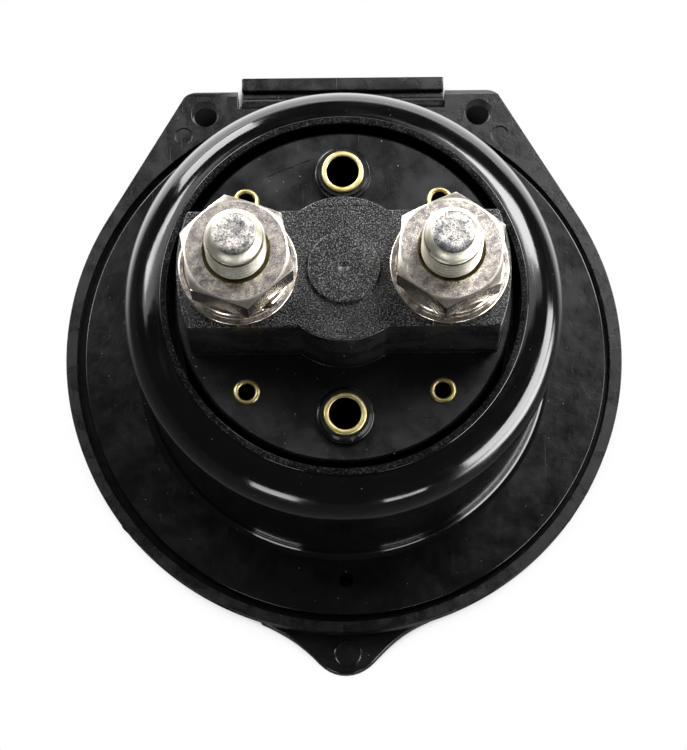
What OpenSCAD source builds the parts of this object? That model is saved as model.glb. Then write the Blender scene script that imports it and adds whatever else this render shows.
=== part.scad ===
// Battery disconnect switch for flush mounting in a panel.
// A round switch sits in the back of a black bowl. The bowl's flange drops into a mounting frame
// with two screw ears, and a hinged lid with a finger tab closes the front.
// Origin: centre of the lid's flat front face. +Z runs to the back, where the terminal studs are.
// +Y is the hinge side and -Y the finger tab. The knob's axis is the Z axis. Sizes in millimetres.

/* [Bowl] */
// How far the bead stands out from the bowl's wall
bead_proud = 1.1; // [0.6:0.1:1.5]
// Length of the straight land on the bead
bead_land = 2; // [1:0.5:4]
// Height of the rounded shoulder above the bead
shoulder_h = 7.5; // [5:0.5:9]
// Height of the raised rim round the switch
rim_h = 0.5; // [0.2:0.1:1]
// Width of the raised rim
rim_w = 1.35; // [0.8:0.05:2]
// Wall thickness of the bowl
bowl_wall = 2.2; // [1.6:0.1:2.6]
// Wall thickness of the pocket that holds the switch
pocket_wall = 1.6; // [1.2:0.1:2]
// Thickness of the bowl's floor, in front of the switch
floor_t = 3; // [2:0.5:4]
// Radius of the fillet between the wall and the flange
foot_fillet = 1.5; // [0.5:0.1:3]
// Width of the bowl's flange outside its wall
flange_w = 11.4; // [10:0.1:15]
// Thickness of the bowl's flange
flange_t = 2.5; // [2:0.1:3]
// Distance of the small screw hole in the flange from the bowl's wall
flange_hole_out = 5; // [3.5:0.1:6]
// Radius of that hole
flange_hole_r = 1.4; // [1:0.1:2]
// Width of the space between the pocket and the bowl's wall, which the webs bridge
web_w = 2.8; // [1.5:0.1:6]
// Number of stiffening webs in that space
web_count = 12; // [6:1:24]
// Thickness of each web
web_t = 1.4; // [1:0.1:2]

/* [Mounting frame] */
// Gap all round between the flange and the frame
flange_gap = 0.8; // [0.3:0.1:1.5]
// Width of the frame's ring outside the flange
frame_wall = 2.4; // [1.8:0.1:4]
// Thickness of the frame
frame_t = 4; // [3.5:0.1:6]
// How far the frame's ledge reaches in under the flange's edge
ledge_w = 3.2; // [2:0.1:4]
// Distance between the two ear screw holes
ear_pitch = 51.6; // [50:0.2:58]
// Radius of each ear screw hole
ear_hole_r = 2.5; // [1.8:0.1:2.7]
// How far each ear's straight edge stands beyond the ring
ear_rise = 0.2; // [0:0.1:2]
// Distance of the ear screw holes from that edge
ear_hole_inset = 4.7; // [4:0.1:6]
// Distance from an ear's hole to the start of its rounded corner
ear_corner_out = 1.6; // [0.5:0.1:3]
// Radius of each ear's rounded corner
ear_corner_r = 2.8; // [1.5:0.1:4]
// Distance of each ear screw hole from the ear's inner edge
ear_hole_side = 6.2; // [5.8:0.1:9]
// Width of the tongue that carries the frame's small screw hole
tongue_w = 10; // [8:0.5:14]

/* [Lid and hinge] */
// Height of the closed lid
lid_h = 5.2; // [5:0.1:6]
// Gap between the closed lid and the frame
lid_gap = 0.3; // [0.2:0.1:0.6]
// How far the lid's edge lies inside the frame's edge
lid_inset = 1.4; // [1:0.1:3]
// Thickness of the lid's plate
lid_plate_t = 2.2; // [1.6:0.1:2.4]
// Thickness of the lid's skirt
lid_skirt_t = 2; // [1.5:0.1:3]
// Radius of the rounding round the lid's front edge
lid_round = 3; // [1:0.5:4]
// How far the finger tab stands out from the frame
tab_reach = 7; // [5:0.5:12]
// Width of the finger tab where it leaves the lid
tab_w = 31.4; // [26:0.2:36]
// Radius of the finger tab's tip
tab_tip_r = 5; // [3:0.5:6]
// Thickness of the finger tab
tab_t = 3.1; // [2:0.1:4]
// Radius of the hinge barrel
barrel_r = 2.1; // [1.9:0.1:2.1]
// Radius of the hinge pin
pin_r = 0.9; // [0.7:0.05:1.1]
// Distance from the hinge axis to the outer face of the stop fin
fin_reach = 6; // [5:0.1:6]
// Thickness of the stop fin
fin_t = 2.2; // [1.5:0.1:2.5]
// Width of the lid's seal
seal_w = 1.5; // [1:0.1:2]

/* [Switch] */
// Distance from the flat washers' edge to the edge of the switch's round base
base_margin = 1.55; // [1.3:0.05:3]
// Gap all round between the switch and the bowl's pocket
pocket_gap = 1.3; // [0.6:0.1:1.5]
// How far the base lies below the bowl's rim
base_sunk = 1.35; // [0.5:0.05:2]
// Thickness of the base
base_t = 4; // [3:0.5:5]
// Height of the terminal block above the base
block_h = 18.65; // [14:0.05:24]
// Width of the terminal block
block_w = 20; // [18:0.5:22]
// Distance from the terminal block's ends to the base's edge
block_inset = 1.2; // [0.6:0.1:1.3]
// Radius of the rounded middle of the terminal block
lobe_r = 12.4; // [11.5:0.1:13]
// Gap between the round pad on the middle of the block and the flat washers
pad_gap = 1.45; // [0.5:0.05:4]
// Height of that pad
pad_h = 1; // [0.4:0.1:2]
// Wall thickness of the switch's cover
cover_wall = 2.2; // [1.6:0.1:2.3]
// Thickness of the cover's floor
cover_floor_t = 2.5; // [2:0.1:3.5]
// Distance of the two large brass bushings from the base's edge
bushing_inset = 7.8; // [7:0.1:9]
// Outer radius of a bushing
bushing_r = 3.7; // [3.4:0.1:3.9]
// Radius of a bushing's bore
bushing_bore_r = 2.75; // [2:0.05:3]
// How far a bushing stands out from the base
bushing_proud = 2.95; // [1:0.05:4]
// Radius of the plastic collar round a bushing
collar_r = 4.9; // [4.5:0.1:5.5]
// Distance of the four eyelets from the base's edge
eyelet_inset = 5.34; // [5.1:0.02:6]
// Direction of the first eyelet from the X axis
eyelet_turn = 45.17; // [42:0.01:48]
// Outer radius of an eyelet's tube
eyelet_r = 1.85; // [1.6:0.05:2]
// Radius of an eyelet's rolled rim
eyelet_rim_r = 2.3; // [2.1:0.05:2.5]
// Wall thickness of an eyelet
eyelet_wall = 0.45; // [0.3:0.05:0.6]

/* [Terminals] */
// Distance between the two studs
stud_pitch = 35.1; // [34.6:0.1:36]
// Radius of the stud's thread
stud_r = 5; // [4:0.5:5]
// Length of the stud that stands above the nut
stud_proud = 10.3; // [6:0.1:16]
// Height of the stud's stepped end
stud_end_h = 1.6; // [1:0.1:2.5]
// Radius of the stud's head inside the switch
stud_head_r = 7.5; // [7:0.1:8]
// Thickness of that head
stud_head_t = 3.2; // [2:0.1:4]
// Radius of the contact on the head
contact_r = 5.5; // [4:0.1:6]
// Height of the contact on the head
contact_h = 1.75; // [1:0.05:3]
// Width of a nut across its flats
nut_af = 17; // [16:0.5:19]
// Height of a nut
nut_h = 8; // [6:0.1:10]
// Outer radius of a spring lock washer
lock_r = 9.05; // [8:0.05:9.2]
// Thickness of a spring lock washer
lock_t = 2.2; // [1.5:0.1:3]
// Width of the slit in a lock washer
lock_slit = 1.4; // [0.6:0.1:2]
// Outer radius of a flat washer
washer_r = 10; // [9.5:0.1:10]
// Thickness of a flat washer
washer_t = 2; // [1:0.1:3]
// Turn of the left nut's first corner
nut_turn_left = 41; // [0:1:59]
// Turn of the right nut's first corner
nut_turn_right = 24.5; // [0:0.5:59]
// Direction of the slit in the left lock washer
slit_turn_left = -53; // [-180:1:180]
// Direction of the slit in the right lock washer
slit_turn_right = -98; // [-180:1:180]

/* [Mechanism] */
// Travel of the contact bridge from off to on
bridge_travel = 2.4; // [1.6:0.1:3]
// Turn of the knob from off to on
knob_turn = 90; // [60:5:90]
// Thickness of the contact bridge
bridge_t = 3; // [2:0.1:3.5]
// Width of the contact bridge
bridge_w = 14; // [13:0.5:15]
// How far the contact bridge reaches beyond its contacts
bridge_end = 0.95; // [0.2:0.05:1.6]
// Thickness of the carrier under the bridge
carrier_t = 2.8; // [2:0.1:3.5]
// Radius of the spindle in the neck
spindle_r = 5; // [4.6:0.1:5.4]
// Radius of the spindle's guide end
guide_r = 3; // [2.4:0.1:3.2]
// Radius of the spindle's cam disc
cam_r = 11.5; // [11:0.1:12.5]
// Thickness of the cam disc
cam_t = 2.4; // [1.5:0.1:3]
// Radius of the rounded followers that ride on the ramps
follower_r = 1.2; // [0.9:0.1:1.4]
// Thickness of the thrust washer under the cam disc
thrust_t = 0.6; // [0.4:0.1:1]
// Radius of the return spring, to the middle of its wire
spring_r = 6.4; // [6.3:0.05:6.6]
// Radius of the spring's wire
wire_r = 0.5; // [0.3:0.05:0.6]
// Number of the spring's curls
curls = 6; // [4:1:7]
// Depth of the spring's pocket in the base
spring_pocket_h = 8; // [5:0.5:12]
// Length of the spindle's bearing in the base
bearing_h = 6.5; // [4:0.5:7]

/* [Neck and knob] */
// Outer radius of the cover's neck
neck_r = 9.5; // [8.5:0.1:10]
// Thickness of the neck's gasket
gasket_t = 1; // [0.5:0.1:1.5]
// Outer radius of the gasket
gasket_r = 16; // [13:0.5:18]
// Wall thickness of the ring nut at its flats
ring_nut_wall = 2.5; // [2:0.1:3.5]
// Height of the ring nut
ring_nut_h = 4; // [3:0.5:5]
// How far the neck stands beyond the ring nut
neck_proud = 1; // [0.5:0.1:2]
// Gap between the ring nut's corners and the knob's skirt
nut_room = 2.14; // [1:0.02:6]
// Wall thickness of the knob's skirt
knob_wall = 3; // [2:0.5:3.5]
// Thickness of the knob's web over the ring nut
knob_web_t = 3; // [2:0.5:4]
// Height of the knob's grip in front of its web. It sets how deep the switch sits in the bowl.
grip_h = 10.26; // [8:0.02:18]
// Width of the knob's grip
grip_w = 11; // [10:0.5:14]
// How far the grip's front lies behind the frame's front face
grip_sunk = 1.5; // [0.5:0.5:4]
// Radius of the knob screw's head
screw_head_r = 3.6; // [3:0.1:4]
// Height of the knob screw's head
screw_head_h = 2.2; // [1.5:0.1:3]
// Radius of the knob screw's thread
screw_r = 2; // [1.5:0.1:2.2]
// Step from the spindle to its flatted end in the knob, on the radius
shank_step = 1; // [0.8:0.1:1.4]

/* [Hidden] */
$fn = 96;
// Overrun of every cut
cut = 0.5;
// Clearance of pieces that are fastened together
seat_gap = 0.05;
// Clearance of a turning or sliding fit, on the radius
run_gap = 0.06;
// Clearance of thrust faces and of the closed contacts
face_gap = 0.1;
// Clearance of pieces that move past each other
move_gap = 0.35;

// Heights of the lid and the frame
frame_front_z = lid_h + lid_gap;
back_z = frame_front_z + frame_t;
flange_front_z = back_z - flange_t;

// Turn that each ramp runs on beyond the knob's travel, and its lowest and highest point
ramp_margin = 12;
ramp_foot = bridge_travel * ramp_margin / knob_turn + face_gap;
ramp_h = ramp_foot + bridge_travel * (knob_turn + ramp_margin) / knob_turn;

// Heights of the knob and the switch, from the front to the back
grip_z = frame_front_z + grip_sunk;
knob_web_z = grip_z + grip_h;
knob_web_top_z = knob_web_z + knob_web_t;
neck_z = knob_web_top_z + move_gap;
ring_nut_z = neck_z + neck_proud;
floor_z = ring_nut_z + ring_nut_h;
knob_rear_z = floor_z - move_gap;
gasket_z = floor_z + floor_t;
cover_z = gasket_z + gasket_t;
thrust_z = cover_z + cover_floor_t;
cam_z = thrust_z + thrust_t + face_gap;
cam_top_z = cam_z + cam_t;
carrier_z = cam_top_z + ramp_h + move_gap;
bridge_z = carrier_z + carrier_t;
bridge_top_z = bridge_z + bridge_t;
contact_z = bridge_top_z + bridge_travel + face_gap;
base_under_z = contact_z + contact_h + stud_head_t;
base_top_z = base_under_z + base_t;
block_top_z = base_top_z + block_h;
spring_top_z = base_under_z + spring_pocket_h;
nut_z = block_top_z + washer_t + lock_t;
nut_top_z = nut_z + nut_h;
tip_z = nut_top_z + stud_proud;

// Heights of the bowl's rim, shoulder and bead
rim_z = base_top_z + base_sunk;
shoulder_top_z = rim_z - rim_h;
shoulder_z = shoulder_top_z - shoulder_h;
land_z = shoulder_z - bead_land;

// Radii that follow from the studs and their washers
base_r = stud_pitch / 2 + washer_r + base_margin;
pad_r = stud_pitch / 2 - washer_r - pad_gap;
bushing_y = base_r - bushing_inset;
stud_shank_r = stud_r * 0.96;
bridge_r = stud_pitch / 2 + contact_r + bridge_end;
hub_r = spring_r - wire_r - 2 * move_gap;
cover_inner_r = base_r - cover_wall;
pocket_r = base_r + pocket_gap;
rim_r = pocket_r + rim_w;
pocket_outer_r = pocket_r + pocket_wall;
recess_r = pocket_outer_r + web_w;
wall_r = recess_r + bowl_wall;
bead_r = wall_r + bead_proud;
flange_r = wall_r + flange_w;
flange_hole_y = wall_r + flange_hole_out;

// Frame, ears and lid
frame_recess_r = flange_r + flange_gap;
frame_r = frame_recess_r + frame_wall;
ledge_r = frame_recess_r - ledge_w;
ear_top_y = frame_r + ear_rise;
ear_hole_y = ear_top_y - ear_hole_inset;
lid_r = frame_r - lid_inset;
seal_r = lid_r - lid_skirt_t;
tab_tip_y = frame_r + tab_reach;
ear_gap = ear_pitch - 2 * ear_hole_side;
tab_z = (lid_h - tab_t) / 2;

// Hinge
lug_t = barrel_r;
lug_wall = pin_r;
hinge_y = ear_top_y - pin_r - lug_wall;
hinge_z = lid_h - barrel_r;
barrel_l = ear_gap - 2 * move_gap;
fin_top_z = hinge_z + pin_r;
fin_z = hinge_z - barrel_r;
web_top_z = hinge_z - pin_r / 2;

// Ring nut, knob and its screw
ring_nut_af = 2 * (neck_r + ring_nut_wall);
knob_r = ring_nut_af / sqrt(3) + nut_room + knob_wall;
shank_r = spindle_r - shank_step;
shank_flat = shank_r * 0.8;
screw_seat_z = grip_z + screw_head_h + screw_r;
shank_z = screw_seat_z + screw_r * 0.75;
screw_l = (knob_web_z - screw_seat_z) * 1.2;

// Points along an arc about a centre, from angle a to angle b in n steps
function arc(centre, r, a, b, n) =
    [for (i = [0 : n]) centre + r * [cos(a + (b - a) * i / n), sin(a + (b - a) * i / n)]];

// Points along a quarter of an ellipse about a centre, from angle a to angle b in n steps
function oval(centre, half_x, half_y, a, b, n) =
    [for (i = [0 : n]) let (t = a + (b - a) * i / n) centre + [half_x * cos(t), half_y * sin(t)]];

// A round hole or pin that starts at a height
module rod(r, z, h) {
    translate([0, 0, z])
        cylinder(r = r, h = h);
}

// A ring with a square section
module ring(outer, inner, z, h) {
    difference() {
        rod(outer, z, h);
        rod(inner, z - cut, h + 2 * cut);
    }
}

// A hexagon prism by its width across flats
module hexagon(af, z, h) {
    translate([0, 0, z])
        cylinder(r = af / sqrt(3), h = h, $fn = 6);
}

// Bowl: outer skin with bead, shoulder and rim
module bowl_skin() {
    rotate_extrude()
        polygon(concat(
            [[0, flange_front_z], [flange_r, flange_front_z], [flange_r, back_z]],
            arc([wall_r + foot_fillet, back_z + foot_fillet], foot_fillet, 270, 180, 6),
            arc([wall_r, land_z], bead_proud, -90, 0, 6),
            oval([rim_r, shoulder_z], bead_r - rim_r, shoulder_h, 0, 90, 14),
            [[rim_r, rim_z], [0, rim_z]]));
}

module bowl() {
    color("#141416")
    difference() {
        bowl_skin();
        rod(pocket_r, gasket_z, rim_z - gasket_z + cut);
        rod(recess_r, flange_front_z - cut, floor_z - flange_front_z + cut);
        rod(neck_r + seat_gap, floor_z - cut, floor_t + 2 * cut);
        translate([0, -flange_hole_y, 0])
            rod(flange_hole_r, flange_front_z - cut, flange_t + 2 * cut);
        difference() {
            ring(recess_r, pocket_outer_r, floor_z - cut, shoulder_z - floor_z);
            for (i = [0 : web_count - 1])
                rotate((i + 0.5) * 360 / web_count)
                    translate([0, -web_t / 2, floor_z])
                        cube([bead_r, web_t, shoulder_h + shoulder_z - floor_z]);
        }
    }
}

// Outline of both ears. Each ear's slanting side touches its rounded corner and the ring.
module ear_outline() {
    centre = [ear_pitch / 2 + ear_corner_out, ear_top_y - ear_corner_r];
    lean = atan2(centre.y, centre.x) - acos((frame_r - ear_corner_r) / norm(centre));
    for (side = [-1, 1])
        scale([side, 1])
            polygon(concat(
                [[ear_gap / 2, ear_top_y - 2 * ear_hole_inset], [ear_gap / 2, ear_top_y]],
                arc(centre, ear_corner_r, 90, lean, 6),
                [frame_r * [cos(lean), sin(lean)], frame_recess_r * [cos(lean), sin(lean)]]));
}

// Hinge lugs in front of the ears
module hinge_lugs() {
    for (side = [0, 1])
        mirror([side, 0, 0])
            translate([ear_gap / 2, hinge_y - barrel_r, fin_z])
                cube([lug_t, ear_top_y - hinge_y + barrel_r, back_z - fin_z - frame_t / 2]);
}

module mounting_frame() {
    color("#232325")
    difference() {
        union() {
            difference() {
                rod(frame_r, frame_front_z, frame_t);
                translate([-ear_gap / 2, flange_r - ear_rise, frame_front_z - cut])
                    cube([ear_gap, frame_r, frame_t + 2 * cut]);
            }
            translate([0, 0, frame_front_z])
                linear_extrude(frame_t)
                    ear_outline();
            hinge_lugs();
        }
        rod(frame_recess_r, flange_front_z, frame_t);
        difference() {
            rod(ledge_r, frame_front_z - cut, frame_t);
            difference() {
                translate([-tongue_w / 2, -ledge_r - cut, frame_front_z - 2 * cut])
                    cube([tongue_w, ledge_r, frame_t + 2 * cut]);
                rod(flange_hole_y - 2 * flange_hole_r, frame_front_z - 3 * cut, frame_t + 4 * cut);
            }
        }
        for (side = [-1, 1])
            translate([side * ear_pitch / 2, ear_hole_y, 0])
                rod(ear_hole_r, frame_front_z - cut, frame_t + 2 * cut);
        translate([0, -flange_hole_y, 0])
            rod(flange_hole_r * 0.86, frame_front_z - cut, frame_t + 2 * cut);
        translate([-ear_gap, hinge_y, hinge_z])
            rotate([0, 90, 0])
                rod(pin_r + seat_gap / 2, 0, 2 * ear_gap);
    }
}

module hinge_pin() {
    color("#b9bcc0")
    translate([0, hinge_y, hinge_z])
        rotate([0, 90, 0])
            rod(pin_r, -ear_gap / 2 - lug_t, ear_gap + 2 * lug_t);
}

// Outline of the finger tab, from its root on the lid to its round tip
tab_flank_shares = [[1, 0], [0.76, 0.13], [0.57, 0.33]];
module tab_outline() {
    root_y = sqrt(pow(frame_r, 2) - pow(tab_w / 2, 2));
    tip = arc([0, -tab_tip_y + tab_tip_r], tab_tip_r, -40, -140, 12);
    right = [for (p = tab_flank_shares) [p.x * tab_w / 2, -root_y - p.y * (tab_tip_y - root_y)]];
    left = [for (i = [len(right) - 1 : -1 : 0]) [-right[i].x, right[i].y]];
    polygon(concat(right, tip, left, [[-tab_w / 2, -lid_r / 2], [tab_w / 2, -lid_r / 2]]));
}

module lid_shell() {
    rotate_extrude()
        polygon(concat(
            [[0, 0]],
            arc([lid_r - lid_round, lid_round], lid_round, 270, 360, 8),
            [[lid_r, lid_h], [0, lid_h]]));
}

// The barrel, its web and the stop fin beyond it
module lid_hinge() {
    translate([0, hinge_y, hinge_z])
        rotate([0, 90, 0])
            rod(barrel_r, -barrel_l / 2, barrel_l);
    translate([-barrel_l / 2, hinge_y - lid_round - barrel_r, fin_z])
        cube([barrel_l, lid_round + barrel_r + fin_reach, web_top_z - fin_z]);
    translate([-barrel_l / 2, hinge_y + fin_reach - fin_t, fin_z])
        cube([barrel_l, fin_t, fin_top_z - fin_z]);
}

// Ribs that stiffen the lid's plate
module lid_ribs() {
    rib_shares = [0.6, 0.62, 0.95];
    rib_h = lid_plate_t / 2;
    ring(seal_r * rib_shares[1], seal_r * rib_shares[0], lid_plate_t - cut, cut + rib_h);
    for (i = [0 : 5])
        rotate(i * 60)
            translate([seal_r * rib_shares[0], -seal_w / 2, lid_plate_t - cut])
                cube([seal_r * (rib_shares[2] - rib_shares[0]), seal_w, cut + rib_h]);
}

module lid() {
    color("#19191b")
    difference() {
        union() {
            difference() {
                union() {
                    lid_shell();
                    translate([0, 0, tab_z])
                        linear_extrude(tab_t)
                            tab_outline();
                    lid_hinge();
                }
                rod(seal_r, lid_plate_t, lid_h);
            }
            lid_ribs();
        }
        translate([0, hinge_y, hinge_z])
            rotate([0, 90, 0])
                rod(pin_r + run_gap, -ear_gap, 2 * ear_gap);
    }
}

module lid_seal() {
    color("#0c0c0d")
    ring(seal_r - seat_gap, seal_r - seat_gap - seal_w, lid_plate_t, lid_h - lid_plate_t);
}

// Places of the two bushings
module at_bushings() {
    for (side = [-1, 1])
        translate([0, side * bushing_y, 0])
            children();
}

// Places of the four eyelets
module at_eyelets() {
    for (x = [0, 1], y = [0, 1])
        mirror([x, 0, 0])
            mirror([0, y, 0])
                rotate(eyelet_turn)
                    translate([base_r - eyelet_inset, 0, 0])
                        children();
}

// Places of the two studs
module at_studs() {
    for (side = [-1, 1])
        translate([side * stud_pitch / 2, 0, 0])
            children();
}

module switch_base() {
    color("#2b2b2e")
    difference() {
        union() {
            rod(base_r, base_under_z, base_t);
            intersection() {
                rod(base_r - block_inset, base_top_z - cut, block_h + cut);
                union() {
                    translate([-base_r, -block_w / 2, base_top_z - cut])
                        cube([2 * base_r, block_w, block_h + cut]);
                    rod(lobe_r, base_top_z - cut, block_h + cut);
                }
            }
            rod(pad_r, block_top_z - cut, pad_h + cut);
            at_bushings()
                rod(collar_r, base_top_z - cut, bushing_proud * 0.7 + cut);
        }
        at_studs()
            rod(stud_shank_r + seat_gap, base_under_z - cut, base_t + block_h + 2 * cut);
        at_bushings()
            rod(bushing_r + seat_gap, base_under_z - cut, base_t + bushing_proud + 2 * cut);
        at_eyelets()
            rod(eyelet_r + seat_gap, base_under_z - cut, base_t + 2 * cut);
        rod(spring_r + 2 * wire_r + move_gap, base_under_z - cut, spring_pocket_h + cut);
        rod(guide_r + run_gap, base_under_z - cut, spring_pocket_h + bearing_h + cut);
    }
}

module switch_cover() {
    column_r = eyelet_rim_r + pocket_gap;
    color("#1d1d1f")
    difference() {
        union() {
            ring(base_r, cover_inner_r, cover_z, base_under_z - cover_z);
            rod(base_r, cover_z, cover_floor_t);
            intersection() {
                at_eyelets()
                    rod(column_r, cover_z, base_under_z - cover_z);
                rod(base_r, cover_z, base_under_z - cover_z);
            }
            rod(neck_r, neck_z, cover_z - neck_z + cut);
        }
        rod(spindle_r + run_gap, neck_z - cut, cover_z - neck_z + cover_floor_t + 2 * cut);
        at_bushings()
            rod(bushing_r + seat_gap, cover_z - cut, cover_floor_t + 2 * cut);
        at_eyelets() {
            rod(eyelet_r + seat_gap, cover_z - cut, base_under_z - cover_z + 2 * cut);
            rod(eyelet_rim_r + seat_gap, cover_z - cut, 2 * eyelet_wall + cut);
        }
    }
}

// Brass bushings, with the outer edge rounded over
module mounting_bushings() {
    edge = (bushing_r - bushing_bore_r) / 3;
    color("#d8b13c")
    at_bushings()
        rotate_extrude()
            polygon(concat(
                [[bushing_bore_r, cover_z], [bushing_r, cover_z]],
                arc([bushing_r - edge, base_top_z + bushing_proud - edge], edge, 0, 90, 4),
                [[bushing_bore_r + edge, base_top_z + bushing_proud],
                 [bushing_bore_r, base_top_z + bushing_proud - edge]]));
}

// Hollow rivets with a rolled rim at both ends
module eyelets() {
    bore = eyelet_r - eyelet_wall;
    roll = (eyelet_rim_r - bore) / 2;
    foot = cover_z + 2 * eyelet_wall;
    color("#dcb640")
    at_eyelets()
        rotate_extrude()
            polygon(concat(
                [[bore, cover_z], [eyelet_rim_r, cover_z], [eyelet_rim_r, foot],
                 [eyelet_r, foot], [eyelet_r, base_top_z], [eyelet_rim_r, base_top_z]],
                oval([bore + roll, base_top_z], roll, 1.2 * eyelet_wall, 0, 180, 10)));
}

// Terminal stud: contact and head inside the switch, thread and stepped end outside. Where the
// block and the nut hold it, it has the thread's mean radius.
module terminal_stud(side) {
    color("#cfc9bd")
    translate([side * stud_pitch / 2, 0, 0])
        rotate_extrude()
            polygon([[0, contact_z], [contact_r, contact_z], [contact_r, contact_z + contact_h],
                [stud_head_r, contact_z + contact_h], [stud_head_r, base_under_z],
                [stud_shank_r, base_under_z], [stud_shank_r, nut_top_z],
                [stud_r, nut_top_z], [stud_r, tip_z - stud_end_h],
                [stud_r * 0.82, tip_z - stud_end_h * 0.45], [stud_r * 0.76, tip_z - stud_end_h * 0.4],
                [stud_r * 0.66, tip_z], [0, tip_z]]);
}

module terminal_stud_left() {
    terminal_stud(-1);
}

module terminal_stud_right() {
    terminal_stud(1);
}

module flat_washer(side) {
    color("#cdc6b8")
    translate([side * stud_pitch / 2, 0, 0])
        ring(washer_r, stud_r * 1.05, block_top_z, washer_t);
}

module flat_washer_left() {
    flat_washer(-1);
}

module flat_washer_right() {
    flat_washer(1);
}

module lock_washer(side, turn) {
    color("#c6bfb1")
    translate([side * stud_pitch / 2, 0, 0])
        rotate(turn)
            difference() {
                ring(lock_r, stud_r * 1.02, block_top_z + washer_t, lock_t);
                translate([0, -lock_slit / 2, block_top_z + washer_t - cut])
                    cube([2 * lock_r, lock_slit, lock_t + 2 * cut]);
            }
}

module lock_washer_left() {
    lock_washer(-1, slit_turn_left);
}

module lock_washer_right() {
    lock_washer(1, slit_turn_right);
}

// Hexagon nut with both faces chamfered at 30 degrees and the thread's mouth countersunk
module terminal_nut(side, turn) {
    corner_r = nut_af / sqrt(3);
    drop = (corner_r - nut_af / 2) * tan(30);
    color("#d2ccbf")
    translate([side * stud_pitch / 2, 0, nut_z])
        rotate(turn)
            difference() {
                intersection() {
                    hexagon(nut_af, 0, nut_h);
                    rotate_extrude()
                        polygon([[0, 0], [nut_af / 2, 0], [corner_r, drop], [corner_r, nut_h - drop],
                            [nut_af / 2, nut_h], [0, nut_h]]);
                }
                rod(stud_shank_r + seat_gap, -cut, nut_h + 2 * cut);
                translate([0, 0, nut_h - stud_r * 0.1])
                    cylinder(r1 = stud_r, r2 = stud_r * 1.1, h = stud_r * 0.1);
            }
}

module terminal_nut_left() {
    terminal_nut(-1, nut_turn_left);
}

module terminal_nut_right() {
    terminal_nut(1, nut_turn_right);
}

module neck_gasket() {
    color("#0e0e0f")
    ring(gasket_r, neck_r + seat_gap, gasket_z, gasket_t);
}

module ring_nut() {
    color("#26262a")
    difference() {
        hexagon(ring_nut_af, ring_nut_z, ring_nut_h);
        rod(neck_r + seat_gap, ring_nut_z - cut, ring_nut_h + 2 * cut);
    }
}

// One helical ramp on the cam disc, between two radii. It rises against the knob's turn.
ramp_shares = [0.5, 0.93];
ramp_steps = 16;
function ramp_angle(i) = ramp_margin - (knob_turn + 2 * ramp_margin) * i / ramp_steps;
function ramp_ring(i, inner, outer) =
    let (a = ramp_angle(i), top = cam_top_z + ramp_foot - bridge_travel * a / knob_turn)
    [[inner * cos(a), inner * sin(a), cam_z + cam_t / 2], [outer * cos(a), outer * sin(a), cam_z + cam_t / 2],
     [outer * cos(a), outer * sin(a), top], [inner * cos(a), inner * sin(a), top]];
module ramp(inner, outer) {
    points = [for (i = [0 : ramp_steps]) each ramp_ring(i, inner, outer)];
    sides = [for (i = [0 : ramp_steps - 1], j = [0 : 3])
        let (a = 4 * i + j, b = 4 * i + (j + 1) % 4) each [[a, b + 4, b], [a, a + 4, b + 4]]];
    last = 4 * ramp_steps;
    polyhedron(points, concat(sides, [[0, 1, 2, 3], [last + 3, last + 2, last + 1, last]]));
}

seal_section_r = spindle_r * 0.14;
groove_r = spindle_r - 2 * seal_section_r;
seal_mid_z = (neck_z + cover_z) / 2;
module spindle() {
    color("#8f9296")
    difference() {
        union() {
            rod(spindle_r, knob_web_top_z, cam_z - knob_web_top_z + cut);
            intersection() {
                rod(shank_r, shank_z, knob_web_top_z - shank_z + cut);
                translate([-shank_flat, -shank_r, shank_z])
                    cube([2 * shank_flat, 2 * shank_r, knob_web_top_z - shank_z + cut]);
            }
            rod(cam_r, cam_z, cam_t);
            rod(guide_r, cam_z, spring_top_z + bearing_h - move_gap - cam_z);
            for (i = [0, 1])
                rotate(180 * i)
                    ramp(cam_r * ramp_shares[0], cam_r * ramp_shares[1]);
        }
        ring(spindle_r + cut, groove_r, seal_mid_z - 1.2 * seal_section_r, 2.4 * seal_section_r);
        rod(screw_r + seat_gap, shank_z - cut, screw_l);
    }
}

module spindle_seal() {
    color("#111112")
    translate([0, 0, seal_mid_z])
        rotate_extrude()
            translate([groove_r + seal_section_r, 0])
                circle(r = seal_section_r, $fn = 24);
}

module thrust_washer() {
    color("#a8abae")
    ring(cam_r, spindle_r + 2 * run_gap, thrust_z, thrust_t);
}

// Knob with a hollow skirt over the ring nut and a straight grip across its front
module knob() {
    color("#b3261e")
    difference() {
        union() {
            rod(knob_r, knob_web_z, knob_rear_z - knob_web_z);
            intersection() {
                rod(knob_r, grip_z, knob_rear_z - grip_z);
                translate([-knob_r, -grip_w / 2, grip_z])
                    cube([2 * knob_r, grip_w, knob_web_z - grip_z + cut]);
            }
        }
        rod(knob_r - knob_wall, knob_web_top_z, floor_z - knob_web_top_z);
        intersection() {
            rod(shank_r + seat_gap, shank_z - seat_gap, floor_z - shank_z);
            translate([-shank_flat - seat_gap, -knob_r, shank_z - cut])
                cube([2 * (shank_flat + seat_gap), 2 * knob_r, floor_z - shank_z + cut]);
        }
        rod(screw_head_r + 2 * face_gap, grip_z - cut, screw_seat_z - grip_z + cut);
        rod(screw_r + face_gap, grip_z, shank_z - grip_z);
    }
}

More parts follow.
